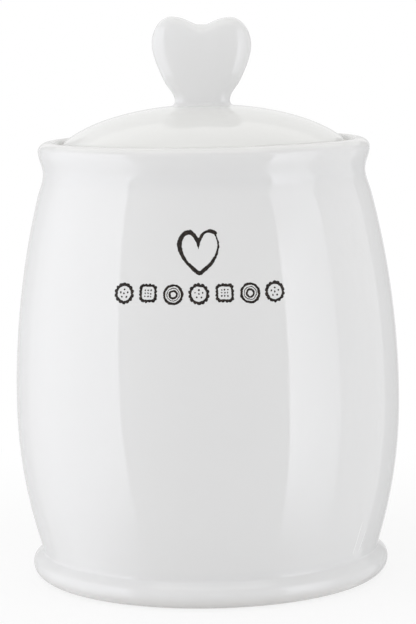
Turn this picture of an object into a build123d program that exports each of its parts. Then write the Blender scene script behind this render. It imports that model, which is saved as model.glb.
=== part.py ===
from build123d import *
import math
import os

# Biscuit jar: a glazed stoneware barrel, a domed lid that drops into its flared rim, a heart-shaped
# knob luted to the lid, and a soft ring between the lid and the ledge inside the rim.
# Millimetres. The jar's axis is Z and Z = 0 is the table.

# --- Driving dimensions: jar -------------------------------------------------------------------
RIM_HEIGHT = 176.0         # crest of the rim above the table
RIM_RADIUS = 66.55         # widest place of the flared rim
RIM_THICKNESS = 6.7        # rim from outside to inside
RIM_CROWN = 3.7            # height of the rounding over the rim
NECK_TUCK = 1.9            # the neck is this much narrower than the rim, in radius
NECK_DROP = 12.5           # the neck's narrowest place below the rim's crest
SHOULDER_SWELL = 2.45      # the shoulder is this much wider than the neck, in radius
SHOULDER_DROP = 22.0       # where the barrel starts to turn in to the neck, below the crest
BELLY_RADIUS = 77.5        # widest place of the barrel
BELLY_HEIGHT = 71.0        # height of the widest place
WAIST_RADIUS = 68.9        # narrowest place, where the barrel meets the base band
WAIST_COVE_RISE = 5.0      # height over which the barrel turns out of the waist
WAIST_COVE_SWELL = 1.05    # and how much it widens over that height
BAND_HEIGHT = 12.0         # top of the base band
BAND_CREST_HEIGHT = 5.6    # height of the band's widest place
BAND_PROJECTION = 3.4      # how far the band stands out of the waist
FOOT_TUCK = 6.5            # the flat foot is this much narrower than the band, in radius
FOOT_RING_WIDTH = 5.0      # width of the flat ring that stands on the table
FOOT_RECESS = 2.0          # hollow of the underside inside the ring
RECESS_SLOPE = 1.5         # width of the slope between the ring and the hollow
WALL = 5.0                 # barrel wall
FLOOR_THICKNESS = 5.5      # bottom over the hollow of the underside
FLOOR_CORNER_ROUND = 9.0   # inside radius between floor and wall
LEDGE_DROP = 6.5           # top of the ledge that carries the lid, below the rim's crest
LEDGE_THICKNESS = 3.2      # nose of the ledge
LEDGE_SLOPE = 6.5          # height of the slope under the ledge
LEDGE_ROUND = 1.0          # rounding of the ledge's edges

# --- Driving dimensions: seal --------------------------------------------------------------------
SEAL_GAP = 2.0             # open gap between the seal and the inside of the rim
SEAL_THICKNESS = 2.0       # between the ledge and the lid
SEAL_LIP_THICKNESS = 1.35  # upright lip around the lid's edge
SEAL_LIP_DROP = 1.7        # the lip ends this far below the lid's upper edge, where its rounding starts
RUNNING_CLEARANCE = 0.06   # between the seal and the lid, so that the lid turns in it

# --- Driving dimensions: lid ---------------------------------------------------------------------
LID_EDGE_THICKNESS = 3.8   # height of the lid at its edge
LID_EDGE_ROUND = 3.2       # rounding of the lid's upper edge
DOME_RISE = 14.6           # top of the dome above the lid's edge
DOME_OVERRUN = 6.1         # how far the dome's ellipse would run on past the edge
DOME_WALL = 5.0            # thickness of the dome
SEAT_WIDTH = 3.0           # flat underside of the lid's edge that rests on the seal
COLLAR_WALL = 4.4          # collar that locates the lid in the neck
COLLAR_DEPTH = 13.0        # collar below the underside of the lid's edge
COLLAR_GAP = 1.0           # room between the collar and the nose of the ledge
COLLAR_ROUND = 1.6         # rounding of the collar's lower edges
COLLAR_ROOT_ROUND = 4.0    # inside radius between collar and dome

# --- Driving dimensions: heart knob --------------------------------------------------------------
KNOB_HEIGHT = 35.1         # lobes above the top of the dome
KNOB_WIDTH = 39.7
KNOB_THICKNESS = 16.0      # through the middle of the heart
KNOB_CROWN = 140.0         # radius of the heart's domed faces
KNOB_EDGE_ROUND = 4.6      # rounding of the heart's edges
LOBE_SPACING = 23.2        # between the tops of the two lobes
NOTCH_DEPTH = 3.1          # dip between the lobes
WIDEST_DROP = 11.0         # the heart's widest place below the lobes
KNOB_NECK_WIDTH = 22.0     # narrowest place above the lid
KNOB_NECK_HEIGHT = 1.4     # that place above the top of the dome
KNOB_NECK_ROUND = 5.0      # profile radius from the heart's sides into the neck
KNOB_SKIRT = 1.7           # how far the foot reaches down over the dome
SKIRT_INSET = 0.2          # the spreading foot starts this far inside the neck
NOTCH_SIDE = (0.43, 0.54)  # point between notch and lobe, in lobe offsets and notch depths
FLANK = (0.47, 0.35)       # point on the heart's side, in its taper and its height
FLANK_END = (-0.55, -1)    # direction in which the side runs into the neck

# --- Worked out from the values above: jar ---------------------------------------------------------
MOUTH_RADIUS = RIM_RADIUS - RIM_THICKNESS
CROWN_HEIGHT = RIM_HEIGHT - RIM_CROWN
NECK_RADIUS = RIM_RADIUS - NECK_TUCK
NECK_HEIGHT = RIM_HEIGHT - NECK_DROP
SHOULDER_RADIUS = NECK_RADIUS + SHOULDER_SWELL
SHOULDER_HEIGHT = RIM_HEIGHT - SHOULDER_DROP
BAND_RADIUS = WAIST_RADIUS + BAND_PROJECTION
FOOT_RADIUS = BAND_RADIUS - FOOT_TUCK
FLOOR_HEIGHT = FOOT_RECESS + FLOOR_THICKNESS
LEDGE_HEIGHT = RIM_HEIGHT - LEDGE_DROP

# --- Worked out: seal, lid and knob ----------------------------------------------------------------
SEAL_OUTER = MOUTH_RADIUS - SEAL_GAP
SEAL_LIP_INNER = SEAL_OUTER - SEAL_LIP_THICKNESS
LID_RADIUS = SEAL_LIP_INNER - RUNNING_CLEARANCE
COLLAR_RADIUS = LID_RADIUS - SEAT_WIDTH
COLLAR_INNER = COLLAR_RADIUS - COLLAR_WALL
SEAL_INNER = COLLAR_RADIUS + RUNNING_CLEARANCE
LEDGE_RADIUS = COLLAR_RADIUS + COLLAR_GAP

LID_UNDERSIDE = LEDGE_HEIGHT + SEAL_THICKNESS
LID_EDGE_HEIGHT = LID_UNDERSIDE + LID_EDGE_THICKNESS
SEAL_LIP_TOP = LID_EDGE_HEIGHT - SEAL_LIP_DROP
COLLAR_BOTTOM = LID_UNDERSIDE - COLLAR_DEPTH
DOME_TOP = LID_EDGE_HEIGHT + DOME_RISE
DOME_A = LID_RADIUS + DOME_OVERRUN
DOME_B = DOME_RISE / (1 - math.sqrt(1 - (LID_RADIUS / DOME_A) ** 2))
DOME_CENTRE = DOME_TOP - DOME_B
WIDEST_HEIGHT = DOME_TOP + KNOB_HEIGHT - WIDEST_DROP

# Directions in a half section: radius across, height up
UP = (0, 1)
DOWN = (0, -1)
OUT = (1, 0)


def turned(section):
    """Turn a half section, drawn with radius across and height up, round the jar's axis."""
    return revolve(Plane.XZ * section, Axis.Z)


def round_corners(sketch, places, radius):
    """Round the corners of the sketch in hand that lie at the given places."""
    corners = [min(sketch.vertices(), key=lambda v: (Vector(*p) - v.center()).length) for p in places]
    fillet(corners, radius)


def outer_wall():
    """Draw the outside, from the flat foot up over the rim to the inside of the mouth."""
    belly = (BELLY_RADIUS, BELLY_HEIGHT)
    waist = (WAIST_RADIUS, BAND_HEIGHT)
    cove_top = (WAIST_RADIUS + WAIST_COVE_SWELL, BAND_HEIGHT + WAIST_COVE_RISE)
    shoulder = (SHOULDER_RADIUS, SHOULDER_HEIGHT)
    neck = (NECK_RADIUS, NECK_HEIGHT)
    rim_centre = (RIM_RADIUS - RIM_THICKNESS / 2, CROWN_HEIGHT)
    foot_centre = (FOOT_RADIUS, BAND_CREST_HEIGHT)
    EllipticalCenterArc(foot_centre, FOOT_TUCK, BAND_CREST_HEIGHT, start_angle=270, arc_size=90)
    Spline((BAND_RADIUS, BAND_CREST_HEIGHT), waist, tangents=(UP, UP))
    lower_barrel = TangentArc(belly, cove_top, tangent=DOWN)
    Spline(waist, cove_top, tangents=(UP, -(lower_barrel % 1)))
    upper_barrel = TangentArc(belly, shoulder, tangent=UP)
    Spline(shoulder, neck, tangents=(upper_barrel % 1, UP))
    Spline(neck, (RIM_RADIUS, CROWN_HEIGHT), tangents=(UP, UP))
    EllipticalCenterArc(rim_centre, RIM_THICKNESS / 2, RIM_CROWN, start_angle=0, arc_size=180)


def jar_body():
    """Barrel with a half-round base band, a recessed underside, a flared rim and a ledge inside."""
    ring_inner = FOOT_RADIUS - FOOT_RING_WIDTH
    recess_edge = (ring_inner - RECESS_SLOPE, FOOT_RECESS)
    gallery_corner = (MOUTH_RADIUS, LEDGE_HEIGHT)
    ledge_nose = (LEDGE_RADIUS, LEDGE_HEIGHT)
    ledge_foot = (LEDGE_RADIUS, LEDGE_HEIGHT - LEDGE_THICKNESS)
    inner_neck = (NECK_RADIUS - WALL, LEDGE_HEIGHT - LEDGE_THICKNESS - LEDGE_SLOPE)
    inner_shoulder = (SHOULDER_RADIUS - WALL, SHOULDER_HEIGHT)
    inner_belly = (BELLY_RADIUS - WALL, BELLY_HEIGHT)
    floor_corner = (WAIST_RADIUS - WALL, FLOOR_HEIGHT)
    with BuildSketch() as section:
        with BuildLine():
            Polyline((0, FOOT_RECESS), recess_edge, (ring_inner, 0), (FOOT_RADIUS, 0))
            outer_wall()
            Polyline((MOUTH_RADIUS, CROWN_HEIGHT), gallery_corner, ledge_nose, ledge_foot, inner_neck)
            Line(inner_neck, inner_shoulder)
            TangentArc(inner_belly, inner_shoulder, tangent=UP)
            TangentArc(inner_belly, floor_corner, tangent=DOWN)
            Polyline(floor_corner, (0, FLOOR_HEIGHT), (0, FOOT_RECESS))
        make_face()
        round_corners(section, [ledge_nose, ledge_foot, gallery_corner], LEDGE_ROUND)
        round_corners(section, [floor_corner], FLOOR_CORNER_ROUND)
    return turned(section.sketch)


def dome_curve(a, b, radius):
    """An ellipse about the dome's centre, as a Bezier curve from the given radius up to the axis."""
    start = math.acos(radius / a)
    reach = 4 / 3 * math.tan((math.pi / 2 - start) / 4)
    edge = Vector(radius, DOME_CENTRE + b * math.sin(start))
    along_edge = Vector(-a * math.sin(start), b * math.cos(start))
    top = Vector(0, DOME_CENTRE + b)
    return Bezier(edge, edge + along_edge * reach, top + Vector(a * reach, 0), top)


def dome_block():
    """Everything under the lid's outer dome, for cutting the knob's foot to fit it."""
    edge = (LID_RADIUS, LID_EDGE_HEIGHT)
    with BuildSketch() as section:
        with BuildLine():
            dome_curve(DOME_A, DOME_B, LID_RADIUS)
            Polyline(edge, (LID_RADIUS, LID_UNDERSIDE), (0, LID_UNDERSIDE), (0, DOME_TOP))
        make_face()
    return turned(section.sketch)


def lid():
    """Domed shell with a flat edge that rests on the seal and a collar that reaches into the neck."""
    edge = (LID_RADIUS, LID_EDGE_HEIGHT)
    seat_outer = (LID_RADIUS, LID_UNDERSIDE)
    seat_inner = (COLLAR_RADIUS, LID_UNDERSIDE)
    collar_outer = (COLLAR_RADIUS, COLLAR_BOTTOM)
    collar_inner = (COLLAR_INNER, COLLAR_BOTTOM)
    with BuildSketch() as section:
        with BuildLine():
            dome_curve(DOME_A, DOME_B, LID_RADIUS)
            inside = dome_curve(DOME_A - DOME_WALL, DOME_B - DOME_WALL, COLLAR_INNER)
            Polyline(edge, seat_outer, seat_inner, collar_outer, collar_inner, inside @ 0)
            Line(inside @ 1, (0, DOME_TOP))
        make_face()
        round_corners(section, [edge], LID_EDGE_ROUND)
        round_corners(section, [collar_outer, collar_inner], COLLAR_ROUND)
        round_corners(section, [tuple(inside @ 0)], COLLAR_ROOT_ROUND)
    return turned(section.sketch)


def lid_seal():
    """Soft ring of L section: a flat foot under the lid's edge and a round-topped lip around it."""
    half_lip = SEAL_LIP_THICKNESS / 2
    lip_shoulder = SEAL_LIP_TOP - half_lip
    outer_top = (SEAL_OUTER, lip_shoulder)
    inner_top = (SEAL_LIP_INNER, lip_shoulder)
    lip_root = (SEAL_LIP_INNER, LID_UNDERSIDE)
    foot_inner = (SEAL_INNER, LEDGE_HEIGHT)
    foot_outer = (SEAL_OUTER, LEDGE_HEIGHT)
    with BuildSketch() as section:
        with BuildLine():
            Polyline(inner_top, lip_root, (SEAL_INNER, LID_UNDERSIDE), foot_inner, foot_outer, outer_top)
            CenterArc((SEAL_OUTER - half_lip, lip_shoulder), half_lip, 0, 180)
        make_face()
    return turned(section.sketch)


def heart_outline():
    """The heart's face: two lobes over sides that draw in to a neck. Height 0 is the dome's top."""
    half_width = KNOB_WIDTH / 2
    half_neck = KNOB_NECK_WIDTH / 2
    lobe = LOBE_SPACING / 2
    widest = KNOB_HEIGHT - WIDEST_DROP
    side_height = widest - KNOB_NECK_HEIGHT
    notch = (0, KNOB_HEIGHT - NOTCH_DEPTH)
    notch_side = (NOTCH_SIDE[0] * lobe, KNOB_HEIGHT - NOTCH_SIDE[1] * NOTCH_DEPTH)
    flank_radius = half_neck + FLANK[0] * (half_width - half_neck)
    flank = (flank_radius, KNOB_NECK_HEIGHT + FLANK[1] * side_height)
    neck = (half_neck, KNOB_NECK_HEIGHT)
    buried = -2 * KNOB_SKIRT
    with BuildSketch() as face:
        with BuildLine():
            Spline(notch, notch_side, (lobe, KNOB_HEIGHT), tangents=(OUT, OUT))
            EllipticalCenterArc((lobe, widest), half_width - lobe, WIDEST_DROP, arc_size=90)
            Spline((half_width, widest), flank, neck, tangents=(DOWN, FLANK_END))
            Polyline(neck, (half_neck, buried), (0, buried), notch)
        make_face()
        round_corners(face, [neck], KNOB_NECK_ROUND)
        mirror(about=Plane.YZ)
    return face.sketch


def heart_knob():
    """Thick heart with domed faces and round edges, its foot spread and cut to fit the lid's dome."""
    ball_offset = KNOB_CROWN - KNOB_THICKNESS / 2
    neck_reach = math.hypot(WIDEST_HEIGHT - DOME_TOP, KNOB_NECK_WIDTH / 2)
    neck_thickness = 2 * (math.sqrt(KNOB_CROWN**2 - neck_reach**2) - ball_offset)
    lobe_round = (KNOB_WIDTH / 2 - LOBE_SPACING / 2) ** 2 / WIDEST_DROP
    edge_round = min(KNOB_EDGE_ROUND, 0.43 * neck_thickness, 0.75 * lobe_round)

    heart = extrude(Pos(0, 0, DOME_TOP) * (Plane.XZ * heart_outline()), KNOB_THICKNESS, both=True)
    for side in (-1, 1):
        heart = heart & Pos(0, side * ball_offset, WIDEST_HEIGHT) * Sphere(KNOB_CROWN)
    crowned = heart.faces().filter_by(GeomType.SPHERE)
    rims = [edge for face in crowned for edge in face.edges() if edge.center().Z > DOME_TOP - KNOB_SKIRT]
    heart = fillet(rims, edge_round)

    skirt_sections = []
    for height, spread in ((KNOB_NECK_HEIGHT, -SKIRT_INSET), (-KNOB_SKIRT, KNOB_NECK_HEIGHT + KNOB_SKIRT)):
        width = KNOB_NECK_WIDTH + 2 * spread
        thickness = neck_thickness + 2 * spread
        section = RectangleRounded(width, thickness, edge_round + spread)
        skirt_sections.append(Pos(0, 0, DOME_TOP + height) * section)
    return heart + loft(skirt_sections, ruled=True) - dome_block()


if __name__ == "__main__":
    os.makedirs("parts", exist_ok=True)
    for make in (jar_body, lid_seal, lid, heart_knob):
        export_step(make(), f"parts/{make.__name__}.step")
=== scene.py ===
import math

import bmesh
import bpy
import numpy as np
from mathutils import Euler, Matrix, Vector


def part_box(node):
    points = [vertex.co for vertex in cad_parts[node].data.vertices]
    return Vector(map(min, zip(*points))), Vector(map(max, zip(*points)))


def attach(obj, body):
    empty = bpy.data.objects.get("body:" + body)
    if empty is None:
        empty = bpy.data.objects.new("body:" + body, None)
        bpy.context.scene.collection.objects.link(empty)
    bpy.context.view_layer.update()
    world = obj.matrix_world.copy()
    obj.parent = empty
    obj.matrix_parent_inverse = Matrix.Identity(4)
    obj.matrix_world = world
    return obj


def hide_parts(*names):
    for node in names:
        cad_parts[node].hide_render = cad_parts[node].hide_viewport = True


# Biscuit jar: a glazed stoneware barrel, a domed lid with a heart-shaped knob, the soft ring that the
# lid sits in, and the print on the front.
# Metres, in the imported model's frame. The jar's axis is Z, Z = 0 is the table and -Y is the front.

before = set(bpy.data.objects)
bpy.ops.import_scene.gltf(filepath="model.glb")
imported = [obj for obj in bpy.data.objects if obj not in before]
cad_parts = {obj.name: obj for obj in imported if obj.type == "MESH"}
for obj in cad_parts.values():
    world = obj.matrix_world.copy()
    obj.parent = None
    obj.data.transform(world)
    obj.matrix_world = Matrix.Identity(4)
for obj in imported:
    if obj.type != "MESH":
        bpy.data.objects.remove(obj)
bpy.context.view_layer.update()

MM = 0.001

jar_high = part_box("jar_body")[1]
lid_low, lid_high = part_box("lid")
seal_low, seal_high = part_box("lid_seal")
knob_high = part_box("heart_knob")[1]

# --- Outside of the jar ---------------------------------------------------------------------------
RIM_HEIGHT = jar_high.z
RIM_RADIUS = 66.55 * MM
RIM_THICKNESS = 6.7 * MM
RIM_CREST_RADIUS = RIM_RADIUS - 0.68 * RIM_THICKNESS
CROWN_HEIGHT = RIM_HEIGHT - 3.7 * MM
NECK_RADIUS = RIM_RADIUS - 1.9 * MM
NECK_HEIGHT = RIM_HEIGHT - 12.5 * MM
SHOULDER_RADIUS = NECK_RADIUS + 2.45 * MM
SHOULDER_HEIGHT = RIM_HEIGHT - 22 * MM
BELLY_RADIUS = jar_high.x
BELLY_HEIGHT = 71 * MM
WAIST_RADIUS = 68.9 * MM
BAND_HEIGHT = 12 * MM
COVE_RISE = 5 * MM
COVE_SWELL = 1.05 * MM
CREASE_RADIUS = WAIST_RADIUS - 0.49 * MM
CREASE_HEIGHT = BAND_HEIGHT - 1.15 * MM
CREASE_ROUNDING = 1.3 * MM
BAND_RADIUS = WAIST_RADIUS + 3.4 * MM
BAND_CREST_HEIGHT = 5.6 * MM
BAND_SHOULDER_RADIUS = BAND_RADIUS - 0.35 * MM
BAND_SHOULDER_HEIGHT = BAND_CREST_HEIGHT + 1.8 * MM
FOOT_RADIUS = BAND_RADIUS - 6.5 * MM
FOOT_RING_INNER = FOOT_RADIUS - 5 * MM
FOOT_ROUNDING = 0.6 * MM
FOOT_RECESS = 2 * MM
RECESS_SLOPE = 1.5 * MM
RECESS_ROUNDING = 1 * MM

# --- Seal and lid ---------------------------------------------------------------------------------
SEAL_RADIUS = seal_high.x
SEAL_FOOT_TOP = seal_low.z + 2 * MM
SEAL_LIP_INNER = SEAL_RADIUS - 1.35 * MM
SEAL_LIP_TOP = seal_high.z
SEAL_ROUNDING = 0.25 * MM
LID_RADIUS = lid_high.x
LID_UNDERSIDE = SEAL_FOOT_TOP
LID_UNDERSIDE_ROUNDING = 0.5 * MM
LID_EDGE_HEIGHT = LID_UNDERSIDE + 3.8 * MM
LID_EDGE_ROUNDING = 3.2 * MM
LID_SIDE_TOP = LID_EDGE_HEIGHT - 0.52 * LID_EDGE_ROUNDING
COLLAR_RADIUS = LID_RADIUS - 3 * MM
COLLAR_INNER = COLLAR_RADIUS - 4.4 * MM
COLLAR_BOTTOM = lid_low.z
COLLAR_ROUNDING = 1.6 * MM
COLLAR_ROOT_ROUNDING = 0.6 * MM
SEAL_INNER = COLLAR_RADIUS + 0.06 * MM

# The dome is the top of an oval. Its hollow lies a wall inside it, and bends down into the collar
DOME_TOP = lid_high.z
DOME_RISE = DOME_TOP - LID_EDGE_HEIGHT
DOME_HALF_WIDTH = LID_RADIUS + 6.1 * MM
DOME_HALF_HEIGHT = DOME_RISE / (1 - math.sqrt(1 - (LID_RADIUS / DOME_HALF_WIDTH) ** 2))
DOME_CENTRE = DOME_TOP - DOME_HALF_HEIGHT
DOME_WALL = 5 * MM
DOME_END = LID_RADIUS - 0.43 * LID_EDGE_ROUNDING
HOLLOW_END = COLLAR_INNER - 3 * MM
HOLLOW_BEND_DROP = 4.5 * MM

# --- Inside of the jar ----------------------------------------------------------------------------
WALL = 5 * MM
FLOOR_HEIGHT = 7.5 * MM
FLOOR_ROUNDING = 9 * MM
INNER_ROUNDING = 2 * MM
MOUTH_RADIUS = RIM_RADIUS - RIM_THICKNESS
LEDGE_RADIUS = COLLAR_RADIUS + 1 * MM
LEDGE_HEIGHT = seal_low.z
LEDGE_THICKNESS = 3.2 * MM
LEDGE_SLANT = 6.5 * MM
LEDGE_ROUNDING = 1 * MM
GALLERY_ROUNDING = 3.2 * MM

# --- Heart knob -----------------------------------------------------------------------------------
KNOB_TOP = knob_high.z
KNOB_HALF_WIDTH = knob_high.x
KNOB_HALF_THICKNESS = knob_high.y
KNOB_FULLNESS = 2.6  # 2 makes its cross-section an ellipse, and more makes it fuller
LOBE_OFFSET = 11.6 * MM
WIDEST_HEIGHT = KNOB_TOP - 11 * MM
NOTCH_HEIGHT = KNOB_TOP - 3.03 * MM
NOTCH_ROUNDING = 3 * MM
ARCH_RISE = 0.86 * (KNOB_TOP - WIDEST_HEIGHT)
KNOB_NECK_HEIGHT = DOME_TOP + 1.4 * MM
KNOB_NECK_HALF_WIDTH = 11 * MM
KNOB_NECK_HALF_THICKNESS = 5.5 * MM
FLANK_HALF_WIDTH = 15.16 * MM
FLANK_HEIGHT = KNOB_NECK_HEIGHT + 8 * MM
FOOT_SPREAD = 2.0 * MM
SKIRT_SHARE = 0.97
SKIRT_DEPTH = 1.2 * MM
KNOB_ASKEW = 0.024
KNOB_ASIDE = 0.16 * MM

# --- Print ----------------------------------------------------------------------------------------
PRINT_MIDDLE = -2.7 * MM
PRINTED_HEART_HEIGHT = 137.4 * MM
PRINTED_ROW_HEIGHT = 122.0 * MM
BISCUIT_PITCH = 9.7 * MM
BISCUIT_LIFTS = (0.0, 0.25 * MM, -0.15 * MM)
WRAP_RADIUS = 73.5 * MM
INK_WEAR = 0.8 * MM
INK_PROUD = 0.03 * MM
INK_SUNK = 0.1 * MM

# --- How finely things are made -------------------------------------------------------------------
FACETS = 240
DOME_POINTS = 60
HOLLOW_POINTS = 40
KNOB_COLUMNS = 21
KNOB_FOOT_ROWS = 8
LOOP_POINTS = 160
JAR_STEP = 1.5 * MM
RING_STEP = 0.6 * MM
KNOB_STEP = 0.8 * MM
INK_STEP = 0.3 * MM
INK_EDGE_STEP = 0.14 * MM
SHARPEST_TURN = math.radians(9)
WELD = 0.002 * MM
FINE_WELD = 0.001 * MM
HAND_PLAY = 0.06 * MM
PLAY_LENGTH = 45 * MM

# What an outline says of each of its points, from 0 to 1: how the glaze lies there, where the shaded gallery
# gets painted light, whether the clay is bare, and how much of the hand's play the wall has
MARKS = ("pool", "thin", "thick", "bare", "loose")

# Headings of an outline in degrees: across is away from the jar's axis
ACROSS, UP, BACK, DOWN = 0, 90, 180, 270

# Two thin runs of glaze at the lower right of the wall, raised and painted near white as a painted highlight:
# azimuth of the foot in degrees, drift in degrees a millimetre up, and the heights of foot and head in
# millimetres
GLAZE_RUNS = ((53.7, 0.125, 13.6, 28.0), (57.1, 0.22, 13.6, 24.0))
RUN_RELIEF = 18  # times the glaze's own waviness

# --- Colours --------------------------------------------------------------------------------------
BARREL_WHITE = (0.83, 0.83, 0.825, 1)
LID_WHITE = (0.83, 0.83, 0.812, 1)
POOLED_GLAZE = (0.72, 0.735, 0.75, 1)
THIN_GLAZE = (0.76, 0.735, 0.705, 1)
# Painted light: a whiter glaze colour painted into the shaded gallery, standing in for light that does not
# reach it
PAINTED_LIGHT_WHITE = (0.955, 0.94, 0.905, 1)
# Painted highlight: the near white of the runs stands in for the light that their flanks catch
RUN_PAINTED_HIGHLIGHT = (0.97, 0.97, 0.97, 1)
BARE_CLAY = (0.73, 0.66, 0.56, 1)
BROWN_CLAY = (0.60, 0.52, 0.43, 1)
SILICONE = (0.89, 0.89, 0.875, 1)
DULL_SILICONE = (0.84, 0.84, 0.82, 1)
INK = (0.013, 0.010, 0.009, 1)
THIN_INK = (0.040, 0.030, 0.024, 1)
TABLE_WHITE = (0.91, 0.91, 0.91, 1)
ROOM_LIGHT = (0.572, 0.569, 0.562, 1)
WHITE = (1, 1, 1, 1)


# ==================================================================================================
# Node trees
# ==================================================================================================

class Wire:
    """A value that comes out of a node. Arithmetic on it adds Math nodes to its tree."""

    def __init__(self, bench, socket):
        self.bench = bench
        self.socket = socket

    def __add__(self, other):
        return self.bench.maths("ADD", self, other)

    def __radd__(self, other):
        return self.bench.maths("ADD", other, self)

    def __sub__(self, other):
        return self.bench.maths("SUBTRACT", self, other)

    def __rsub__(self, other):
        return self.bench.maths("SUBTRACT", other, self)

    def __mul__(self, other):
        return self.bench.maths("MULTIPLY", self, other)

    def __rmul__(self, other):
        return self.bench.maths("MULTIPLY", other, self)

    def __truediv__(self, other):
        return self.bench.maths("DIVIDE", self, other)

    def __rtruediv__(self, other):
        return self.bench.maths("DIVIDE", other, self)

    def ease(self, low, high):
        """0 below low, 1 above high, and smooth between."""
        ranges = {"From Min": low, "From Max": high}
        return self.bench.add("ShaderNodeMapRange", {"interpolation_type": "SMOOTHSTEP"},
                              {"Value": self, **ranges}, "Result")


class Bench:
    """Adds nodes to one tree and joins them."""

    def __init__(self, tree):
        self.tree = tree

    def find(self, sockets, key):
        if isinstance(key, int):
            return sockets[key]
        return next(s for s in sockets if key in (s.identifier, s.name))

    def add(self, kind, settings=None, values=None, out=0):
        """Add a node, set it up, fill its sockets, and give the wire of one of its outputs."""
        node = self.tree.nodes.new(kind)
        for name, setting in (settings or {}).items():
            setattr(node, name, setting)
        for key, value in (values or {}).items():
            socket = self.find(node.inputs, key)
            if isinstance(value, Wire):
                self.tree.links.new(value.socket, socket)
            else:
                socket.default_value = value
        return Wire(self, self.find(node.outputs, out)) if node.outputs else None

    def maths(self, operation, *values):
        return self.add("ShaderNodeMath", {"operation": operation}, dict(enumerate(values)))

    def part(self, vector, axis):
        """One coordinate of a vector."""
        return self.add("ShaderNodeSeparateXYZ", None, {0: vector}, axis)

    def vector(self, x, y, z):
        return self.add("ShaderNodeCombineXYZ", None, {"X": x, "Y": y, "Z": z})

    def noise(self, place, scale, detail=2, out=0):
        return self.add("ShaderNodeTexNoise", None, {"Vector": place, "Scale": scale, "Detail": detail}, out)

    def mix(self, factor, a, b):
        """Mix two colours."""
        return self.add("ShaderNodeMix", {"data_type": "RGBA"},
                        {"Factor_Float": factor, "A_Color": a, "B_Color": b}, "Result_Color")

    def given(self, name):
        """One of the named inputs of the tree."""
        return self.add("NodeGroupInput", out=name)

    def mark(self, name):
        """What the outline says under this name, in a Geometry Nodes tree."""
        kind = "GeometryNodeInputNamedAttribute"
        return self.add(kind, {"data_type": "FLOAT"}, {"Name": name}, "Attribute")

    def hand_over(self, piece):
        """End a Geometry Nodes tree: real geometry, with its finish on it."""
        piece = self.add("GeometryNodeRealizeInstances", None, {"Geometry": piece}, "Geometry")
        coated = {"Geometry": piece, "Material": self.given("Finish")}
        piece = self.add("GeometryNodeSetMaterial", None, coated, "Geometry")
        self.add("NodeGroupOutput", None, {"Piece": piece})


def shape_tree(name, inputs):
    """An empty Geometry Nodes tree with a geometry in and out, and the named inputs."""
    tree = bpy.data.node_groups.new(name, "GeometryNodeTree")
    tree.interface.new_socket("Drawing", in_out="INPUT", socket_type="NodeSocketGeometry")
    for label, kind in inputs.items():
        tree.interface.new_socket(label, in_out="INPUT", socket_type=f"NodeSocket{kind}")
    tree.interface.new_socket("Piece", in_out="OUTPUT", socket_type="NodeSocketGeometry")
    return tree


def shaped(name, drawing, tree, values):
    """Run a tree over a drawing, and keep what comes out as a plain mesh at the origin."""
    piece = bpy.data.objects.new(name, drawing)
    bpy.context.scene.collection.objects.link(piece)
    nodes = piece.modifiers.new("shape", "NODES")
    nodes.node_group = tree
    for item in tree.interface.items_tree:
        if item.name in values:
            nodes[item.identifier] = values[item.name]
    depsgraph = bpy.context.evaluated_depsgraph_get()
    mesh = bpy.data.meshes.new_from_object(
        piece.evaluated_get(depsgraph), preserve_all_data_layers=True, depsgraph=depsgraph)
    piece.modifiers.clear()
    piece.data = mesh
    mesh.name = name
    return piece


# ==================================================================================================
# Outlines
# ==================================================================================================

def bend(start, end, step):
    """Points after start on a smooth bend to end. Both are (across, up, heading), and an arc is one too."""
    first, last = np.array(start[:2]), np.array(end[:2])
    headings = math.radians(start[2]), math.radians(end[2])
    leaving, arriving = (np.array((math.cos(heading), math.sin(heading))) for heading in headings)
    gap = last - first
    chord = math.hypot(*gap)
    turn = math.radians(abs((end[2] - start[2] + 180) % 360 - 180))
    pull_first = pull_last = chord / 3
    crossing = leaving[0] * arriving[1] - leaving[1] * arriving[0]
    nearly_parallel = 0.01
    if abs(crossing) > nearly_parallel:
        ahead = (gap[0] * arriving[1] - gap[1] * arriving[0]) / crossing
        behind = (leaving[0] * gap[1] - leaving[1] * gap[0]) / crossing
        if ahead > 0 and behind > 0:
            share = 4 / 3 * math.tan(turn / 4) / math.tan(turn / 2)
            pull_first, pull_last = share * ahead, share * behind
    steps = max(math.ceil(chord / step), math.ceil(turn / SHARPEST_TURN))
    t = np.linspace(0, 1, steps + 1)[1:, None]
    return ((1 - t) ** 3 * first + 3 * (1 - t) ** 2 * t * (first + leaving * pull_first)
            + 3 * (1 - t) * t**2 * (last - arriving * pull_last) + t**3 * last)


def corner(across, up, arriving, leaving, radius):
    """The two ends of a rounded corner."""
    trim = radius * abs(math.tan(math.radians(leaving - arriving) / 2))
    a, b = math.radians(arriving), math.radians(leaving)
    return [(across - trim * math.cos(a), up - trim * math.sin(a), arriving),
            (across + trim * math.cos(b), up + trim * math.sin(b), leaving)]


def outline(stations, step):
    """All points of an outline that runs through the stations."""
    same_place = 1e-7
    points = [np.array([stations[0][:2]])]
    for start, end in zip(stations, stations[1:]):
        if math.dist(start[:2], end[:2]) > same_place:
            points.append(bend(start, end, step))
    return np.concatenate(points)


def lean(across, up):
    """How far an arc that is upright at one end leans at the other, in degrees."""
    return math.degrees(2 * math.atan2(across, up))


def slope(start, end):
    """Heading of the straight line between two points, in degrees."""
    return math.degrees(math.atan2(end[1] - start[1], end[0] - start[0])) % 360


def ease(values):
    """0 up to 0, 1 from 1 on, and smooth between."""
    values = np.clip(values, 0, 1)
    return values * values * (3 - 2 * values)


def bump_at(values, middle, half_width):
    """1 at the middle, falling smoothly to 0 at half_width on both sides."""
    return ease(1 - np.abs(values - middle) / half_width)


# ==================================================================================================
# Turning on the wheel
# ==================================================================================================

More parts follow.
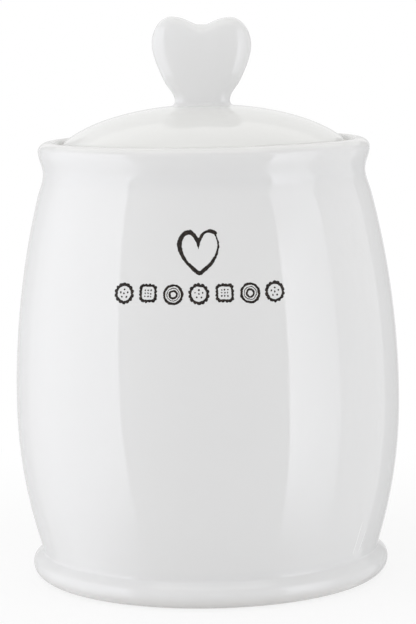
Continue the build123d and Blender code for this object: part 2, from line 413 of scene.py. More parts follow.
def wheel():
    """A tree that turns an outline round the Z axis and leaves the wall a little off true by hand."""
    tree = shape_tree("turn_on_the_wheel", {
        "Facets": "Int", "Hand Play": "Float", "Play Length": "Float", "Finish": "Material"})
    b = Bench(tree)
    drawing = b.given("Drawing")
    stations = b.add("GeometryNodeAttributeDomainSize", None, {"Geometry": drawing}, "Point Count")
    piece = b.add("GeometryNodeMeshGrid", None, {
        "Size X": 1.0, "Size Y": 1.0, "Vertices X": b.given("Facets") + 1, "Vertices Y": stations}, "Mesh")
    place = b.add("GeometryNodeInputPosition")
    turned = (b.part(place, "X") + 0.5) * math.tau
    station = b.maths("ROUND", (b.part(place, "Y") + 0.5) * (stations - 1))

    def from_outline(kind, value):
        return b.add("GeometryNodeSampleIndex", {"data_type": kind, "domain": "POINT"},
                     {"Geometry": drawing, "Value": value, "Index": station}, "Value")

    for mark in MARKS:
        piece = b.add("GeometryNodeStoreNamedAttribute", {"data_type": "FLOAT", "domain": "POINT"}, {
            "Geometry": piece, "Name": mark, "Value": from_outline("FLOAT", b.mark(mark))}, "Geometry")
    spot = from_outline("FLOAT_VECTOR", place)
    radius = b.part(spot, "X")
    height = b.part(spot, "Z")
    ring = b.vector(radius * b.maths("COSINE", turned), radius * b.maths("SINE", turned), height)
    piece = b.add("GeometryNodeSetPosition", None, {"Geometry": piece, "Position": ring}, "Geometry")
    piece = b.add("GeometryNodeMergeByDistance", None, {"Geometry": piece, "Distance": WELD}, "Geometry")

    # The wave only goes inwards, so that the wall stays within its drawn outline
    wave = (b.noise(place, 1 / b.given("Play Length"), 1) - 1) * b.given("Hand Play") * b.mark("loose")
    outwards = b.add("GeometryNodeInputNormal")
    offset = b.add("ShaderNodeVectorMath", {"operation": "SCALE"}, {0: outwards, "Scale": wave})
    piece = b.add("GeometryNodeSetPosition", None, {"Geometry": piece, "Offset": offset}, "Geometry")
    piece = b.add("GeometryNodeSetShadeSmooth", None, {"Geometry": piece}, "Geometry")
    b.hand_over(piece)
    return tree


def turned_piece(name, turning, points, glaze, hand_play=0.0, marks=None):
    """A piece turned from its outline, with the outline's marks, each a value at every point."""
    drawing = bpy.data.meshes.new(f"{name}_outline")
    drawing.from_pydata([(r, 0, z) for r, z in points], [(i, i + 1) for i in range(len(points) - 1)], [])
    for mark in MARKS:
        values = np.broadcast_to((marks or {}).get(mark, 0.0), len(points)).astype(np.float32)
        drawing.attributes.new(mark, "FLOAT", "POINT").data.foreach_set("value", values)
    return shaped(name, drawing, turning, {
        "Facets": FACETS, "Hand Play": hand_play, "Play Length": PLAY_LENGTH, "Finish": glaze})


def jar_outline():
    ring_slope = slope((FOOT_RING_INNER - RECESS_SLOPE, FOOT_RECESS), (FOOT_RING_INNER, 0))
    cove_top = (WAIST_RADIUS + COVE_SWELL, BAND_HEIGHT + COVE_RISE)
    lower_lean = lean(BELLY_RADIUS - cove_top[0], BELLY_HEIGHT - cove_top[1])
    upper_lean = lean(BELLY_RADIUS - SHOULDER_RADIUS, SHOULDER_HEIGHT - BELLY_HEIGHT)
    ledge_foot = (LEDGE_RADIUS, LEDGE_HEIGHT - LEDGE_THICKNESS)
    inner_neck = (NECK_RADIUS - WALL, ledge_foot[1] - LEDGE_SLANT)
    inner_shoulder = (SHOULDER_RADIUS - WALL, SHOULDER_HEIGHT)
    inner_belly = BELLY_RADIUS - WALL
    inner_waist = WAIST_RADIUS - WALL
    under_ledge = slope(ledge_foot, inner_neck)
    under_neck = slope(inner_neck, inner_shoulder)
    inner_lean = lean(inner_belly - inner_shoulder[0], inner_shoulder[1] - BELLY_HEIGHT)
    floor_lean = lean(inner_belly - inner_waist, BELLY_HEIGHT - FLOOR_HEIGHT)
    return outline([
        (0, FOOT_RECESS, ACROSS),
        *corner(FOOT_RING_INNER - RECESS_SLOPE, FOOT_RECESS, ACROSS, ring_slope - 360, RECESS_ROUNDING),
        *corner(FOOT_RING_INNER, 0, ring_slope - 360, ACROSS, FOOT_ROUNDING),
        (FOOT_RADIUS, 0, ACROSS),
        (BAND_RADIUS, BAND_CREST_HEIGHT, UP),
        (BAND_SHOULDER_RADIUS, BAND_SHOULDER_HEIGHT, UP + 22),
        *corner(CREASE_RADIUS, CREASE_HEIGHT, UP + 50, UP - 13, CREASE_ROUNDING),
        (*cove_top, UP - lower_lean),
        (BELLY_RADIUS, BELLY_HEIGHT, UP),
        (SHOULDER_RADIUS, SHOULDER_HEIGHT, UP + upper_lean),
        (NECK_RADIUS, NECK_HEIGHT, UP),
        (RIM_RADIUS, CROWN_HEIGHT, UP),
        (RIM_CREST_RADIUS, RIM_HEIGHT, BACK),
        (MOUTH_RADIUS, CROWN_HEIGHT, DOWN),
        *corner(MOUTH_RADIUS, LEDGE_HEIGHT, DOWN, BACK, GALLERY_ROUNDING),
        *corner(LEDGE_RADIUS, LEDGE_HEIGHT, BACK, DOWN, LEDGE_ROUNDING),
        *corner(*ledge_foot, DOWN, under_ledge + 360, LEDGE_ROUNDING),
        *corner(*inner_neck, under_ledge + 360, under_neck + 360, INNER_ROUNDING),
        *corner(*inner_shoulder, under_neck, DOWN + inner_lean, INNER_ROUNDING),
        (inner_belly, BELLY_HEIGHT, DOWN),
        *corner(inner_waist, FLOOR_HEIGHT, DOWN - floor_lean, BACK, FLOOR_ROUNDING),
        (0, FLOOR_HEIGHT, BACK),
    ], JAR_STEP)


def jar_marks(points):
    """Where the jar's glaze pools or lies thin, where a whiter colour is painted into the shaded gallery as
    painted light, where its clay is bare, and which part of its wall has the hand's play.
    """
    radius, height = points.T
    outside = radius > MOUTH_RADIUS + 1 * MM
    above_foot = outside * ease((height - 1 * MM) / (6 * MM))
    at_band = bump_at(height, BAND_HEIGHT + 1 * MM, 2 * MM)
    at_neck = bump_at(height, NECK_HEIGHT, 6 * MM)
    at_foot = bump_at(height, 1.5 * MM, 5 * MM)
    at_rim = bump_at(height, RIM_HEIGHT, 3 * MM)
    gallery = ((radius > LEDGE_RADIUS - 1 * MM) & (radius < MOUTH_RADIUS + 0.2 * MM)
               & (height > LEDGE_HEIGHT - 1 * MM))
    return {
        "pool": 0.3 * np.maximum(at_band, at_neck) * above_foot,
        "thin": outside * np.maximum(at_foot, 0.5 * at_rim),
        # Painted light in the shaded gallery under the lid
        "thick": 1.0 * gallery,
        "bare": 1.0 * (height < 0.4 * MM),
        "loose": above_foot,
    }


def dome_height(across, inside=0.0):
    """Height of the dome at a distance from its axis, or of its hollow, which is so far inside it."""
    return DOME_CENTRE + (DOME_HALF_HEIGHT - inside) * np.sqrt(1 - (across / (DOME_HALF_WIDTH - inside)) ** 2)


def dome_fall(across, inside=0.0):
    """How steeply the dome or its hollow falls there, in degrees."""
    a, b = DOME_HALF_WIDTH - inside, DOME_HALF_HEIGHT - inside
    return math.degrees(math.atan2(b * across, a * math.sqrt(a**2 - across**2)))


def lid_outline():
    hollow_a, hollow_b = DOME_HALF_WIDTH - DOME_WALL, DOME_HALF_HEIGHT - DOME_WALL
    hollow_end_height = dome_height(HOLLOW_END, DOME_WALL)
    across = np.sin(np.linspace(math.asin(DOME_END / DOME_HALF_WIDTH), 0, DOME_POINTS))[:, None]
    dome = np.hstack((DOME_HALF_WIDTH * across, DOME_CENTRE + DOME_HALF_HEIGHT * np.sqrt(1 - across**2)))
    under = np.sin(np.linspace(0, math.asin(HOLLOW_END / hollow_a), HOLLOW_POINTS))[:, None]
    hollow = np.hstack((hollow_a * under, DOME_CENTRE + hollow_b * np.sqrt(1 - under**2)))
    edge = outline([
        (HOLLOW_END, hollow_end_height, -dome_fall(HOLLOW_END, DOME_WALL)),
        (COLLAR_INNER, hollow_end_height - HOLLOW_BEND_DROP, DOWN),
        *corner(COLLAR_INNER, COLLAR_BOTTOM, DOWN, DOWN + 90, COLLAR_ROUNDING),
        *corner(COLLAR_RADIUS, COLLAR_BOTTOM, ACROSS, UP, COLLAR_ROUNDING),
        *corner(COLLAR_RADIUS, LID_UNDERSIDE, UP, ACROSS, COLLAR_ROOT_ROUNDING),
        *corner(LID_RADIUS, LID_UNDERSIDE, ACROSS, UP, LID_UNDERSIDE_ROUNDING),
        (LID_RADIUS, LID_SIDE_TOP, UP),
        (DOME_END, dome_height(DOME_END), BACK - dome_fall(DOME_END)),
    ], RING_STEP)
    return np.concatenate((hollow, edge[1:-1], dome))


def seal_outline():
    half_lip = (SEAL_RADIUS - SEAL_LIP_INNER) / 2
    shoulder = SEAL_LIP_TOP - half_lip
    return outline([
        (SEAL_RADIUS, shoulder, UP),
        (SEAL_RADIUS - half_lip, SEAL_LIP_TOP, BACK),
        (SEAL_LIP_INNER, shoulder, DOWN),
        *corner(SEAL_LIP_INNER, SEAL_FOOT_TOP, DOWN, BACK, SEAL_ROUNDING),
        *corner(SEAL_INNER, SEAL_FOOT_TOP, BACK, DOWN, SEAL_ROUNDING),
        *corner(SEAL_INNER, LEDGE_HEIGHT, DOWN, DOWN + 90, SEAL_ROUNDING),
        *corner(SEAL_RADIUS, LEDGE_HEIGHT, ACROSS, UP, SEAL_ROUNDING),
        (SEAL_RADIUS, shoulder, UP),
    ], RING_STEP)


# ==================================================================================================
# Heart knob
# ==================================================================================================

def heart_line():
    """The heart's outline over both lobes, from its widest place at the right to that at the left."""
    lobe = bend((KNOB_HALF_WIDTH, WIDEST_HEIGHT, UP), (LOBE_OFFSET, KNOB_TOP, BACK), KNOB_STEP)
    notch = outline([
        (LOBE_OFFSET, KNOB_TOP, BACK),
        (LOBE_OFFSET * 0.43, KNOB_TOP - 1.62 * MM, BACK + 25),
        *corner(2.1 * MM, NOTCH_HEIGHT + 0.06 * MM, BACK + 25, BACK + 1, NOTCH_ROUNDING),
        (0, NOTCH_HEIGHT, BACK),
    ], KNOB_STEP)
    half = np.concatenate(([(KNOB_HALF_WIDTH, WIDEST_HEIGHT)], lobe, notch[1:]))
    return np.concatenate((half, half[-2::-1] * (-1, 1)))


def lobe_rings(columns):
    """Above the widest place: rings that turn from an arch round its middle into the heart's outline."""
    heart = heart_line()
    run = np.concatenate(([0], np.cumsum(np.hypot(*np.diff(heart, axis=0).T))))
    turn = math.pi * run / run[-1]
    arch = np.stack((KNOB_HALF_WIDTH * np.cos(turn), WIDEST_HEIGHT + ARCH_RISE * np.sin(turn)), 1)
    middle = np.array((0, WIDEST_HEIGHT))
    share = ease(columns)[:, None, None]
    rings = middle + columns[:, None, None] * ((1 - share) * arch + share * heart - middle)
    depth = KNOB_HALF_THICKNESS * (1 - columns**KNOB_FULLNESS) ** 0.5
    return np.stack((rings[..., 0], np.broadcast_to(depth[:, None], rings.shape[:2]), rings[..., 1]), 2)


def flank_slices(across):
    """Below the widest place: oval slices down to the neck, a small cove that meets the dome, and a skirt."""
    flank = outline([
        (KNOB_HALF_WIDTH, WIDEST_HEIGHT, DOWN),
        (FLANK_HALF_WIDTH, FLANK_HEIGHT, DOWN - 26),
        (KNOB_NECK_HALF_WIDTH, KNOB_NECK_HEIGHT, DOWN),
    ], KNOB_STEP)
    fall = ease((WIDEST_HEIGHT - flank[:, 1]) / (WIDEST_HEIGHT - KNOB_NECK_HEIGHT))
    thickness = KNOB_HALF_THICKNESS + (KNOB_NECK_HALF_THICKNESS - KNOB_HALF_THICKNESS) * fall
    bulge = (1 - np.abs(across) ** KNOB_FULLNESS) ** 0.5
    height = np.broadcast_to(flank[:, 1:], (len(flank), len(across)))
    slices = np.stack((flank[:, :1] * across, thickness[:, None] * bulge, height), 2)
    foot = []
    for step in np.linspace(0, math.pi / 2, KNOB_FOOT_ROWS)[1:]:
        spread = FOOT_SPREAD * (1 - math.cos(step))
        x = (KNOB_NECK_HALF_WIDTH + spread) * across
        y = (KNOB_NECK_HALF_THICKNESS + spread) * bulge
        drop = (KNOB_NECK_HEIGHT - dome_height(np.hypot(x, y))) * math.sin(step)
        foot.append(np.stack((x, y, KNOB_NECK_HEIGHT - drop), 1))
    skirt = foot[-1] * (SKIRT_SHARE, SKIRT_SHARE, 1) - (0, 0, SKIRT_DEPTH)
    return np.concatenate((slices, foot, [skirt]))


def skin(bm, rows):
    """Faces between rows of points."""
    rows = [[bm.verts.new(point) for point in row] for row in rows]
    for row, below in zip(rows, rows[1:]):
        for i in range(len(row) - 1):
            bm.faces.new((row[i], row[i + 1], below[i + 1], below[i]))


def heart_knob(name, glaze):
    """A pillowy heart on a spread foot, whose skirt is let into the dome."""
    columns = np.sin(np.linspace(0, math.pi / 2, KNOB_COLUMNS))
    columns[-1] = 1.0
    upper = lobe_rings(columns)
    lower = flank_slices(np.concatenate((-columns[:0:-1], columns)))

    # Set by hand, a little off the middle and askew: its right side sits lower
    for sheet in (upper, lower):
        upwards = ease((sheet[..., 2] - KNOB_NECK_HEIGHT) / (WIDEST_HEIGHT - KNOB_NECK_HEIGHT))
        sheet[..., 2] -= KNOB_ASKEW * (sheet[..., 0] + LOBE_OFFSET) * upwards
        sheet[..., 0] -= KNOB_ASIDE

    bm = bmesh.new()
    front, back = (1, -1, 1), (1, 1, 1)
    for side in (front, back):
        for sheet in (upper, lower):
            skin(bm, sheet * side)
    skin(bm, (lower[-1] * front, lower[-1] * back))
    bmesh.ops.remove_doubles(bm, verts=bm.verts[:], dist=WELD)
    bmesh.ops.dissolve_degenerate(bm, edges=bm.edges[:], dist=FINE_WELD)
    bmesh.ops.recalc_face_normals(bm, faces=bm.faces[:])
    mesh = bpy.data.meshes.new(name)
    bm.to_mesh(mesh)
    bm.free()
    mesh.shade_smooth()
    mesh.materials.append(glaze)
    knob = bpy.data.objects.new(name, mesh)
    bpy.context.scene.collection.objects.link(knob)
    return knob


# ==================================================================================================
# Print
# ==================================================================================================

def decal():
    """A tree that inks the inside of drawn loops, wraps it on the wall and leaves it barely proud of it."""
    tree = shape_tree("decal", {"Wall": "Object", "Wrap Radius": "Float", "Wear": "Float", "Proud": "Float",
                                "Sunk": "Float", "Finish": "Material"})
    b = Bench(tree)
    wall = b.add("GeometryNodeObjectInfo", None, {"Object": b.given("Wall")}, "Geometry")
    wear = b.given("Wear")
    sunk = b.given("Sunk")
    place = b.add("GeometryNodeInputPosition")

    # Loops with a coarse and a fine wear on their edges, filled with ink
    line = b.add("GeometryNodeMeshToCurve", None, {"Mesh": b.given("Drawing")}, "Curve")
    even = {"Curve": line, "Length": INK_EDGE_STEP}
    line = b.add("GeometryNodeResampleCurve", {"mode": "LENGTH"}, even, "Curve")
    for scale, share in ((700, 1.0), (2600, 0.45)):
        stray = {0: b.noise(place, scale, out="Color"), 1: (0.5, 0.5, 0.5)}
        stray = b.add("ShaderNodeVectorMath", {"operation": "SUBTRACT"}, stray, "Vector")
        reach = b.vector(wear * share, wear * share, 0.0)
        stray = b.add("ShaderNodeVectorMath", {"operation": "MULTIPLY"}, {0: stray, 1: reach}, "Vector")
        line = b.add("GeometryNodeSetPosition", None, {"Geometry": line, "Offset": stray}, "Geometry")
    ink = b.add("GeometryNodeFillCurve", {"mode": "TRIANGLES"}, {"Curve": line}, "Mesh")

    # Every point goes to where a ray from well outside meets the wall
    far = 0.2
    turned = b.part(place, "X") / b.given("Wrap Radius")
    height = b.part(place, "Y")
    x = b.maths("SINE", turned)
    y = 0 - b.maths("COSINE", turned)
    outside = b.vector(x * far, y * far, height)
    inwards = b.vector(0 - x, 0 - y, 0.0)
    ray = {"Target Geometry": wall, "Source Position": outside, "Ray Direction": inwards, "Ray Length": far}
    hit = b.add("GeometryNodeRaycast", None, ray, "Hit Position")
    ink = b.add("GeometryNodeSetPosition", None, {"Geometry": ink, "Position": hit}, "Geometry")

    # A closed layer, from a little inside the wall to a little outside
    outwards = b.add("GeometryNodeInputNormal")
    sink = b.add("ShaderNodeVectorMath", {"operation": "SCALE"}, {0: outwards, "Scale": 0 - sunk}, "Vector")
    back = b.add("GeometryNodeSetPosition", None, {"Geometry": ink, "Offset": sink}, "Geometry")
    front = b.add("GeometryNodeExtrudeMesh", {"mode": "FACES"}, {
        "Mesh": back, "Offset Scale": sunk + b.given("Proud"), "Individual": False}, "Mesh")
    back = b.add("GeometryNodeFlipFaces", None, {"Mesh": back}, "Mesh")
    join = b.add("GeometryNodeJoinGeometry", None, {"Geometry": front}, "Geometry")
    tree.links.new(back.socket, join.socket.node.inputs[0])
    ink = b.add("GeometryNodeMergeByDistance", None, {"Geometry": join, "Distance": FINE_WELD}, "Geometry")
    b.hand_over(ink)
    return tree


def loops(name, drawn):
    """Closed lines of edges in one flat mesh."""
    points, edges = [], []
    for loop in drawn:
        first = len(points)
        points += [(x, y, 0) for x, y in loop]
        edges += [(first + i, first + (i + 1) % len(loop)) for i in range(len(loop))]
    mesh = bpy.data.meshes.new(name)
    mesh.from_pydata(points, edges, [])
    return mesh


def brushed_heart(x, z):
    """A heart in one brush line, heavy on its left and thin on its right. Millimetres from (x, z)."""
    outer = [(0, 5.6, 128), (-3.5, 8.3, 180), (-8.4, 2.8, 270), (-4.6, -4.4, 312), (-0.8, -8.1, 318),
             (0.3, -8.5, 5), (1.5, -8.0, 38), (5.2, -4.6, 47), (8.15, 3.0, 90), (7.1, 6.3, 118),
             (7.5, 6.9, 100), (4.9, 8.45, 180), (1.2, 6.9, 224), (0.5, 5.7, 250), (0, 5.6, 180)]
    inner = [(0, 1.2, 104), (-1.6, 4.9, 118), (-3.9, 6.5, 180), (-6.5, 2.7, 270), (-4.1, -3.1, 310),
             (0.1, -6.8, 318), (0.3, -6.85, 30), (4.5, -3.5, 46), (7.4, 3.0, 90), (6.3, 6.3, 122),
             (6.1, 6.5, 165), (4.3, 7.2, 180), (1.3, 4.9, 247), (0.1, 1.2, 258)]
    return [outline([(x + u * MM, z + v * MM, heading) for u, v, heading in line], INK_STEP)[:-1]
            for line in (outer, inner)]


def ring_of(x, z, radius, squareness=2, crimps=0, depth=0.0):
    """A loop between a circle, squareness 2, and a square, with a crimped edge."""
    angle = np.linspace(0, math.tau, LOOP_POINTS, endpoint=False)
    spread = (np.abs(np.cos(angle)) ** squareness + np.abs(np.sin(angle)) ** squareness) ** (-1 / squareness)
    reach = radius * spread + depth * np.abs(np.sin(crimps / 2 * angle)) ** 0.7
    return np.stack((x + reach * np.cos(angle), z + reach * np.sin(angle)), 1)


def round_biscuit(x, z):
    """A round biscuit seen from above: its scalloped edge in a thick line, and its docking holes."""
    holes = [(0, 0)] + [(1.5 * math.cos(a), 1.5 * math.sin(a)) for a in np.radians((90, 162, 234, 306, 18))]
    return ([ring_of(x, z, 3.6 * MM, 2, 14, 0.5 * MM), ring_of(x, z, 2.75 * MM)]
            + [ring_of(x + u * MM, z + v * MM, 0.34 * MM) for u, v in holes])


def square_biscuit(x, z):
    """A square biscuit with crimped sides, and its docking holes."""
    holes = [(u, v) for u in (-1.15, 0, 1.15) for v in (-1.15, 0, 1.15)]
    return ([ring_of(x, z, 3.15 * MM, 5, 16, 0.42 * MM), ring_of(x, z, 2.4 * MM, 5)]
            + [ring_of(x + u * MM, z + v * MM, 0.3 * MM) for u, v in holes])


def ring_biscuit(x, z):
    """A ring biscuit: two plain round edges and a thin line between them."""
    return [ring_of(x, z, radius * MM) for radius in (3.9, 2.95, 2.5, 2.2, 1.75, 0.95)]


def biscuit_row():
    """Seven biscuits side by side, a little up and down as a hand would set them."""
    kinds = (round_biscuit, square_biscuit, ring_biscuit)
    row = []
    for i in range(7):
        x = PRINT_MIDDLE + (i - 3) * BISCUIT_PITCH
        row += kinds[i % 3](x, PRINTED_ROW_HEIGHT + BISCUIT_LIFTS[i % 3])
    return row


# ==================================================================================================
# Finishes
# ==================================================================================================

def finish(name):
    """A new material and its bench."""
    material = bpy.data.materials.new(name)
    material.use_nodes = True
    material.node_tree.nodes.clear()
    return material, Bench(material.node_tree)


def coat(b, colour, roughness, ior, relief, depth):
    """The shader that closes a finish. Depth is how far a relief of 1 stands out."""
    normal = b.add("ShaderNodeBump", None, {"Strength": 1.0, "Distance": depth, "Height": relief})
    shader = b.add("ShaderNodeBsdfPrincipled", None, {
        "Base Color": colour, "Roughness": roughness, "IOR": ior, "Normal": normal})
    b.add("ShaderNodeOutputMaterial", None, {"Surface": shader})


def glaze_run(b, place, azimuth, drift, low, high):
    """1 along the middle of a thin run of glaze and 0 off it. Its numbers are those of GLAZE_RUNS."""
    half_width = 0.75 * MM
    foot_fade, head_fade = 1.5, 4
    x = b.part(place, "X")
    y = b.part(place, "Y")
    z = b.part(place, "Z") / MM
    middle = math.radians(azimuth) + math.radians(drift) * (z - low)
    aside = b.maths("ABSOLUTE", b.maths("ARCTAN2", x, 0 - y) - middle) * WAIST_RADIUS
    ridge = (1 - aside / half_width).ease(0.0, 1.0)
    return ridge * z.ease(low, low + foot_fade) * (1 - z.ease(high - head_fade, high))


def white_glaze(name, white, runs=False):
    """Clear gloss over white stoneware: bluer where it pools, creamier where it lies thin at an edge,
    with a whiter colour painted into the shaded gallery as painted light, and bare clay under the foot ring.
    With runs, the runs of glaze get a painted highlight as well as their relief.
    """
    material, b = finish(name)
    place = b.add("ShaderNodeTexCoord", out="Object")
    pool, thin, thick, bare = (b.add("ShaderNodeAttribute", {"attribute_name": mark}, out="Fac")
                               for mark in ("pool", "thin", "thick", "bare"))
    cloud = b.noise(place, 22, 3)
    clay = (bare + (b.noise(place, 260) - 0.5) * 0.5).ease(0.45, 0.55)
    colour = b.mix(pool * 0.25 + cloud * 0.2, white, POOLED_GLAZE)
    colour = b.mix(thin * 0.4, colour, THIN_GLAZE)
    # Painted light: the shaded gallery is painted a whiter colour
    colour = b.mix(thick, colour, PAINTED_LIGHT_WHITE)
    colour = b.mix(clay, colour, b.mix(b.noise(place, 900, 4), BARE_CLAY, BROWN_CLAY))
    gloss = 0.035 + 0.04 * b.noise(place, 60)
    roughness = gloss * (1 - clay) + clay * 0.85
    relief = b.noise(place, 240) + b.noise(place, 1100) * 0.12 + clay * b.noise(place, 2600, 3) * 3
    if runs:
        run = glaze_run(b, place, *GLAZE_RUNS[0]) + glaze_run(b, place, *GLAZE_RUNS[1])
        relief = relief + RUN_RELIEF * run
        # Painted highlight: the runs are painted near white besides their relief
        colour = b.mix(run, colour, RUN_PAINTED_HIGHLIGHT)
    coat(b, colour, roughness, 1.5, relief, 0.006 * MM)
    return material


def seal_silicone():
    """Soft white silicone with a matt skin."""
    material, b = finish("seal_silicone")
    place = b.add("ShaderNodeTexCoord", out="Object")
    colour = b.mix(b.noise(place, 90, 3), SILICONE, DULL_SILICONE)
    roughness = 0.42 + 0.16 * b.noise(place, 400)
    coat(b, colour, roughness, 1.45, b.noise(place, 1500, 3), 0.01 * MM)
    return material


def print_ink():
    """Black decal ink under a thin glaze, browner and thinner in places."""
    material, b = finish("print_ink")
    place = b.add("ShaderNodeTexCoord", out="Object")
    thin = (b.noise(place, 900, 3) + b.noise(place, 4200) * 0.6).ease(0.72, 1.0)
    colour = b.mix(thin, INK, THIN_INK)
    roughness = 0.16 + 0.14 * b.noise(place, 1500)
    coat(b, colour, roughness, 1.28, b.noise(place, 1200, 3), 0.01 * MM)
    return material


# ==================================================================================================
# Studio
# ==================================================================================================

def towards(azimuth):
    """Level direction from the jar, azimuth from the front to the right, in degrees."""
    turn = math.radians(azimuth)
    return Vector((math.sin(turn), -math.cos(turn), 0))


def softbox(name, centre, target, width, height, shine, tint=(1, 1, 1), foot=0.0, above=None, tip=0.0):
    """An area light that faces the target. Its shine is how bright its face looks at its left and at its
    right, seen from the target, 1 being white.

    With a foot, it rises softly from 0 over that share of its height. Above is the shine of its upper part,
    where that differs. Tip is how far its top leans to its left, in degrees.
    """
    lamp = bpy.data.lights.new(name, "AREA")
    lamp.shape = "RECTANGLE"
    lamp.size = width
    lamp.size_y = height
    lamp.energy = width * height * math.pi
    lamp.color = tint
    lamp.use_nodes = True
    lamp.node_tree.nodes.clear()
    b = Bench(lamp.node_tree)
    face = b.add("ShaderNodeNewGeometry", out="Parametric")
    across = b.part(face, "X")
    up = b.part(face, "Y")
    strength = shine[0] + (shine[1] - shine[0]) * across
    if above:
        upper = above[0] + (above[1] - above[0]) * across
        in_upper_part = up.ease(0.69, 0.80)
        strength = strength + (upper - strength) * in_upper_part
    if foot:
        strength = strength * up.ease(0.0, foot)
    glow = b.add("ShaderNodeEmission", None, {"Strength": strength})
    b.add("ShaderNodeOutputLight", None, {"Surface": glow})
    box = bpy.data.objects.new(name, lamp)
    box.location = centre
    facing = (Vector(target) - Vector(centre)).to_track_quat("-Z", "Y")
    tipped = Euler((0, 0, math.radians(tip))).to_quaternion()
    box.rotation_euler = (facing @ tipped).to_euler()
    box.visible_camera = False
    bpy.context.scene.collection.objects.link(box)


def side_scrim(name, first, last, distance, low, high, shine, **more):
    """An upright softbox that fills the azimuths from first to last, seen from the jar's axis."""
    half_turn = math.radians((last - first) / 2)
    centre = towards((first + last) / 2) * distance * math.cos(half_turn)
    centre.z = (low + high) / 2
    target = (0, 0, centre.z)
    softbox(name, centre, target, 2 * distance * math.sin(half_turn), high - low, shine, **more)


def dark_flag(name, first, last, distance, low, high, brightness):
    """A grey card that only reflections see, so that the glaze's edges stand out from the background."""
    corners = [towards(azimuth) * distance + Vector((0, 0, z))
               for azimuth, z in ((first, low), (last, low), (last, high), (first, high))]
    mesh = bpy.data.meshes.new(name)
    mesh.from_pydata(corners, [], [(0, 1, 2, 3)])
    material, b = finish(name)
    glow = b.add("ShaderNodeEmission", None, {"Color": WHITE, "Strength": brightness})
    b.add("ShaderNodeOutputMaterial", None, {"Surface": glow})
    mesh.materials.append(material)
    card = bpy.data.objects.new(name, mesh)
    bpy.context.scene.collection.objects.link(card)
    card.visible_camera = False
    card.visible_diffuse = False
    card.visible_shadow = False
    card.visible_transmission = False


def room():
    """Even light from all round, and plain white where the camera or a reflection looks past the jar."""
    world = bpy.data.worlds.new("studio")
    world.use_nodes = True
    world.node_tree.nodes.clear()
    b = Bench(world.node_tree)
    seen, mirrored, through = (b.add("ShaderNodeLightPath", out=f"Is {kind} Ray")
                               for kind in ("Camera", "Glossy", "Transmission"))
    background = b.maths("MAXIMUM", b.maths("MAXIMUM", seen, mirrored), through)
    colour = b.mix(background, ROOM_LIGHT, WHITE)
    sky = b.add("ShaderNodeBackground", None, {"Color": colour, "Strength": 1.0})
    b.add("ShaderNodeOutputWorld", None, {"Surface": sky})
    bpy.context.scene.world = world


def studio():
    cool, warm = (0.94, 0.945, 1.0), (1.0, 1.0, 0.97)
    side_scrim("left_scrim", -120, -51, 1.0, -0.9, 0.8, (0.1, 2.15), tint=cool, foot=0.42, tip=9)
    side_scrim("front_fill", -50, 46, 2.0, -0.9, 2.0, (0.15, 0.0))
    side_scrim("right_scrim", 47, 82, 1.0, -0.8, 0.8, (2.65, 0.75), tint=cool, foot=0.45, above=(1.4, 1.25))
    softbox("top_softbox", (0, -0.1, 1.4), (0, 0, 0.15), 1.2, 0.8, (0.8, 0.8), tint=warm)
    softbox("ceiling", (0, 1.0, 1.4), (0, 1.0, 0), 2.4, 1.4, (0.34, 0.34), tint=warm)
    dark_flag("left_flag", -160, -131, 1.2, -0.8, 0.7, 0.7)
    dark_flag("back_flag", 160, 200, 1.2, -0.8, 0.3, 0.8)
    dark_flag("right_flag", 128, 160, 1.2, -0.8, 0.52, 0.6)
    room()


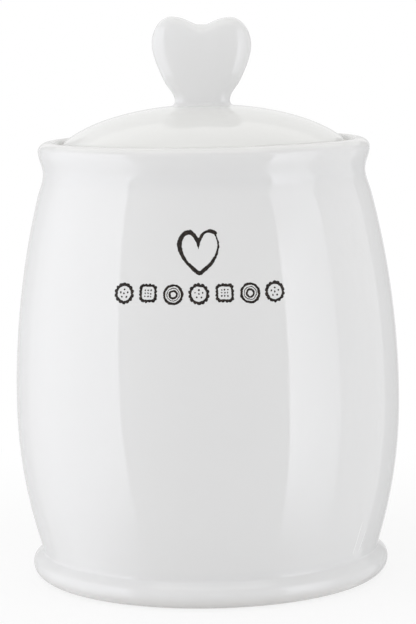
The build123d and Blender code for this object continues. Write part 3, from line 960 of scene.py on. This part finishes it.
def table_top():
    """A wide white table, a hair below the foot. The camera sees it as plain white, and near the jar as
    white with a share of the jar's shadow.
    """
    half = 12.0
    height = -0.05 * MM
    shadow_share = 0.18
    shadow_fades, shadow_ends = 90 * MM, 300 * MM
    mesh = bpy.data.meshes.new("table_top")
    corners = [(x, y, height) for x, y in ((-half, -half), (half, -half), (half, half), (-half, half))]
    mesh.from_pydata(corners, [], [(0, 1, 2, 3)])
    table = bpy.data.objects.new("table_top", mesh)
    bpy.context.scene.collection.objects.link(table)
    material, b = finish("white_table")
    place = b.add("ShaderNodeTexCoord", out="Object")
    distance = b.add("ShaderNodeVectorMath", {"operation": "LENGTH"}, {0: place}, "Value")
    seen = b.add("ShaderNodeLightPath", out="Is Camera Ray")
    clean = seen * (1 - shadow_share + shadow_share * distance.ease(shadow_fades, shadow_ends))
    matt = b.add("ShaderNodeBsdfDiffuse", None, {"Color": TABLE_WHITE})
    white = b.add("ShaderNodeEmission", None, {"Color": WHITE, "Strength": 1.0})
    both = b.add("ShaderNodeMixShader", None, {"Fac": clean, 1: matt, 2: white})
    b.add("ShaderNodeOutputMaterial", None, {"Surface": both})
    mesh.materials.append(material)
    table.visible_glossy = False


def camera():
    """In front of the jar, a metre off and level with the knob, looking down and rolled a little."""
    lens = bpy.data.cameras.new("camera")
    lens.lens = 140.8
    lens.sensor_width = 36.0
    lens.clip_start = 0.05
    eye = bpy.data.objects.new("camera", lens)
    eye.location = (0.6 * MM, -980 * MM, 228.05 * MM)
    looking_down = Euler((math.radians(90 - 7.096), 0, 0)).to_quaternion()
    rolled = Euler((0, 0, math.radians(-1.0))).to_quaternion()
    eye.rotation_euler = (looking_down @ rolled).to_euler()
    bpy.context.scene.collection.objects.link(eye)
    bpy.context.scene.camera = eye


# ==================================================================================================
# The jar
# ==================================================================================================

def build():
    bpy.context.scene.view_settings.view_transform = "Standard"
    camera()
    studio()
    table_top()

    barrel_glaze = white_glaze("white_glaze", BARREL_WHITE, runs=True)
    lid_glaze = white_glaze("cream_white_glaze", LID_WHITE)
    silicone = seal_silicone()
    turning = wheel()

    points = jar_outline()
    jar = turned_piece("glazed_jar", turning, points, barrel_glaze, HAND_PLAY, jar_marks(points))
    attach(jar, "jar")
    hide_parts("jar_body")

    seal = turned_piece("soft_seal_ring", turning, seal_outline(), silicone)
    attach(seal, "seal")
    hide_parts("lid_seal")

    lid = turned_piece("glazed_lid", turning, lid_outline(), lid_glaze)
    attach(lid, "lid")
    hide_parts("lid")

    knob = heart_knob("glazed_heart_knob", barrel_glaze)
    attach(knob, "lid")
    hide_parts("heart_knob")

    ink = print_ink()
    transfer = decal()
    heart = brushed_heart(PRINT_MIDDLE, PRINTED_HEART_HEIGHT)
    for name, drawn in (("printed_heart", heart), ("printed_biscuits", biscuit_row())):
        figure = shaped(name, loops(name, drawn), transfer, {
            "Wall": jar, "Wrap Radius": WRAP_RADIUS, "Wear": INK_WEAR, "Proud": INK_PROUD, "Sunk": INK_SUNK,
            "Finish": ink})
        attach(figure, "jar")


build()
